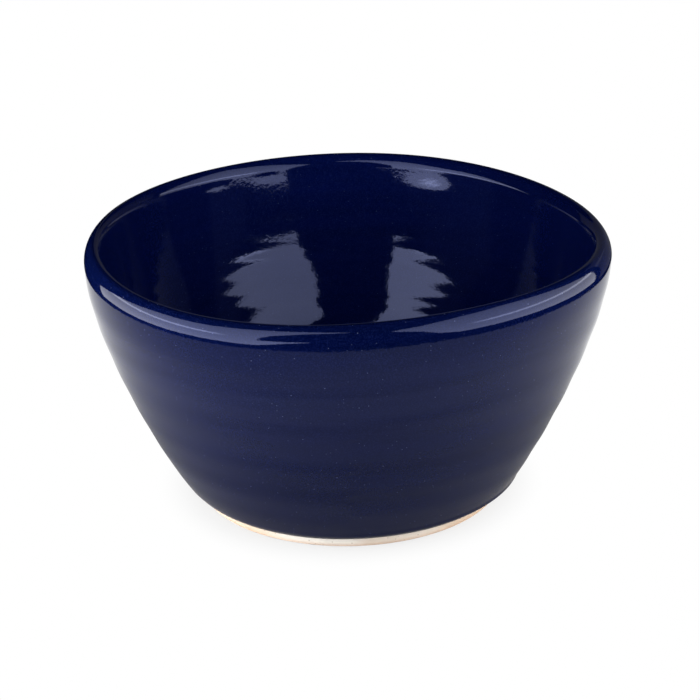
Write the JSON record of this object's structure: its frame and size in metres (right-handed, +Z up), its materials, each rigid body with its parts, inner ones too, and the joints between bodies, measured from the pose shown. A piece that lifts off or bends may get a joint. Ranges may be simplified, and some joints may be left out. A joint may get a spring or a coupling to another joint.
{
  "type": "prep bowl",
  "caption": "Small hand-thrown stoneware prep bowl with a flared wall, rounded lip, finger rings inside, turned foot ring and a cobalt-blue glaze that stops above the bare foot.",
  "frame": {"origin": "middle of the foot's standing face, on the table", "axes": "+Z up along the bowl's turning axis; X and Y level, and alike all round"},
  "size_m": [0.115, 0.115, 0.0596],
  "materials": {
    "bare_stoneware": "unglazed, smoothed with a turning tool, cream with a faint peach flash",
    "liner_glaze": "gloss, dark cobalt blue, pooled a little in the finger rings",
    "outer_glaze": "gloss, dark cobalt blue, with pin specks and a thicker bead above the foot"
  },
  "bodies": {
    "root": {"clay_body": "bare_stoneware", "liner_glaze": "liner_glaze", "outer_glaze": "outer_glaze"}
  },
  "joints": []
}
